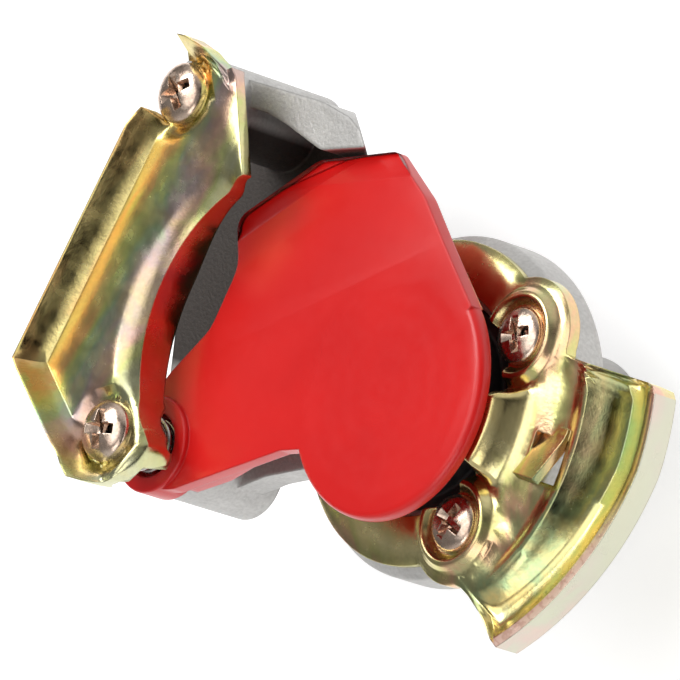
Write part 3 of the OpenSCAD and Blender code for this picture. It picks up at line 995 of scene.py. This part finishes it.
@dataclass
class Studio:
    """Pale floor, soft light and the camera at the photograph's angle."""

    look_at: Point = (-7.2 * MM, 5.1 * MM, 50.0 * MM)
    right: Point = (0.636, 0.309, -0.707)
    up: Point = (-0.207, 0.951, 0.230)
    distance: float = 1.5
    frame_width: float = 107.1 * MM
    floor_pale: Colour = (0.80, 0.80, 0.80)
    floor_glow: float = 0.54
    base: float = 0.16
    lobes: tuple[Lobe, ...] = (
        Lobe((0.10, 0.0, 1.0), 0.86, 0.98, 1.9), Lobe((0.0, 1.0, 0.10), 0.55, 0.95, 0.62),
        Lobe((0.0, -1.0, 0.20), 0.60, 0.95, 0.42), Lobe((-0.74, 0.0, 0.67), 0.75, 0.97, 0.06),
        Lobe((0.86, 0.0, 0.51), 0.88, 0.98, 0.24), Lobe((1.0, 0.0, 0.05), 0.62, 0.95, -0.19))

    def camera(self) -> None:
        """Creates the camera and makes it the scene's own."""
        data = bpy.data.cameras.new("camera")
        data.sensor_width = 36
        data.lens = data.sensor_width * self.distance / self.frame_width
        back = Vector(self.right).cross(Vector(self.up)).normalized()
        right = Vector(self.right).normalized()
        up = back.cross(right)
        turn = Matrix((right, up, back)).transposed().to_4x4()
        held = bpy.data.objects.new("camera", data)
        held.matrix_world = Matrix.Translation(Vector(self.look_at) + back * self.distance) @ turn
        bpy.context.scene.collection.objects.link(held)
        bpy.context.scene.camera = held

    def floor(self) -> None:
        """Adds the pale floor, which shows white and keeps the shadow."""
        bpy.ops.object.select_all(action="DESELECT")
        bpy.ops.mesh.primitive_plane_add(size=6, location=(0, 0, CAD_BOX[0].z))
        ground = bpy.context.object
        ground.name = "floor"
        material = bpy.data.materials.new("floor_white")
        material.use_nodes = True
        tree = material.node_tree
        tree.nodes.clear()
        plain = tree.nodes.new("ShaderNodeBsdfDiffuse")
        plain.inputs["Color"].default_value = (*self.floor_pale, 1)
        glow = tree.nodes.new("ShaderNodeEmission")
        path = tree.nodes.new("ShaderNodeLightPath")
        seen = tree.nodes.new("ShaderNodeMath")
        seen.operation = "MAXIMUM"
        tree.links.new(path.outputs["Is Camera Ray"], seen.inputs[0])
        tree.links.new(path.outputs["Is Glossy Ray"], seen.inputs[1])
        clear = tree.nodes.new("ShaderNodeMath")
        clear.operation = "MAXIMUM"
        tree.links.new(seen.outputs[0], clear.inputs[0])
        tree.links.new(path.outputs["Is Transmission Ray"], clear.inputs[1])
        share = tree.nodes.new("ShaderNodeMath")
        share.operation = "MULTIPLY"
        share.inputs[1].default_value = self.floor_glow
        tree.links.new(clear.outputs[0], share.inputs[0])
        tree.links.new(share.outputs[0], glow.inputs["Strength"])
        both = tree.nodes.new("ShaderNodeAddShader")
        tree.links.new(plain.outputs[0], both.inputs[0])
        tree.links.new(glow.outputs[0], both.inputs[1])
        output = tree.nodes.new("ShaderNodeOutputMaterial")
        tree.links.new(both.outputs[0], output.inputs["Surface"])
        ground.data.materials.append(material)

    def world(self) -> None:
        """Sets a soft sky that is bright overhead and at the sides and darkest low behind the camera."""
        world = bpy.data.worlds.new("studio")
        bpy.context.scene.world = world
        world.use_nodes = True
        tree = world.node_tree
        tree.nodes.clear()
        way = tree.nodes.new("ShaderNodeTexCoord").outputs["Generated"]
        around = tree.nodes.new("ShaderNodeBackground")
        around.inputs["Color"].default_value = (1.0, 1.0, 1.0, 1)
        total = None
        for lobe in self.lobes:
            dot = tree.nodes.new("ShaderNodeVectorMath")
            dot.operation = "DOT_PRODUCT"
            dot.inputs[1].default_value = Vector(lobe.towards).normalized()
            tree.links.new(way, dot.inputs[0])
            patch = tree.nodes.new("ShaderNodeMapRange")
            patch.interpolation_type = "SMOOTHSTEP"
            for key, number in (("From Min", lobe.start), ("From Max", lobe.end), ("To Max", lobe.level)):
                patch.inputs[key].default_value = number
            tree.links.new(dot.outputs["Value"], patch.inputs["Value"])
            add = tree.nodes.new("ShaderNodeMath")
            add.operation = "ADD"
            add.inputs[1].default_value = self.base
            if total is not None:
                tree.links.new(total, add.inputs[1])
            tree.links.new(patch.outputs["Result"], add.inputs[0])
            total = add.outputs[0]
        tree.links.new(total, around.inputs["Strength"])
        white = tree.nodes.new("ShaderNodeBackground")
        white.inputs["Color"].default_value = (1, 1, 1, 1)
        path = tree.nodes.new("ShaderNodeLightPath")
        pick = tree.nodes.new("ShaderNodeMixShader")
        tree.links.new(path.outputs["Is Camera Ray"], pick.inputs[0])
        tree.links.new(around.outputs[0], pick.inputs[1])
        tree.links.new(white.outputs[0], pick.inputs[2])
        output = tree.nodes.new("ShaderNodeOutputWorld")
        tree.links.new(pick.outputs[0], output.inputs["Surface"])

    def lamp(self, name: str, at: Point, size: float, power: float) -> None:
        """Adds a square soft light that faces the object.

        Args:
            name: Name of the light.
            at: Place in metres.
            size: Side in metres.
            power: Watts.
        """
        data = bpy.data.lights.new(name, "AREA")
        data.size = size
        data.energy = power
        held = bpy.data.objects.new(name, data)
        held.location = at
        held.rotation_mode = "QUATERNION"
        held.rotation_quaternion = (Vector(self.look_at) - Vector(at)).to_track_quat("-Z", "Y")
        bpy.context.scene.collection.objects.link(held)

    def build(self) -> None:
        """Sets the stage."""
        self.camera()
        self.floor()
        self.world()
        self.lamp("key", (-0.6, 0.5, 1.2), 0.7, 9)
        self.lamp("fill", (0.9, -0.9, 0.9), 0.9, 5)
        bpy.context.scene.view_settings.view_transform = "Standard"


def main() -> None:
    """Builds the sub-assemblies in order."""
    logging.basicConfig(level=logging.INFO, format="%(message)s")
    Studio().build()
    Casting().build()
    PressedPlates().build()
    Cover().build()
    Screws().build()


if __name__ == "__main__":
    main()
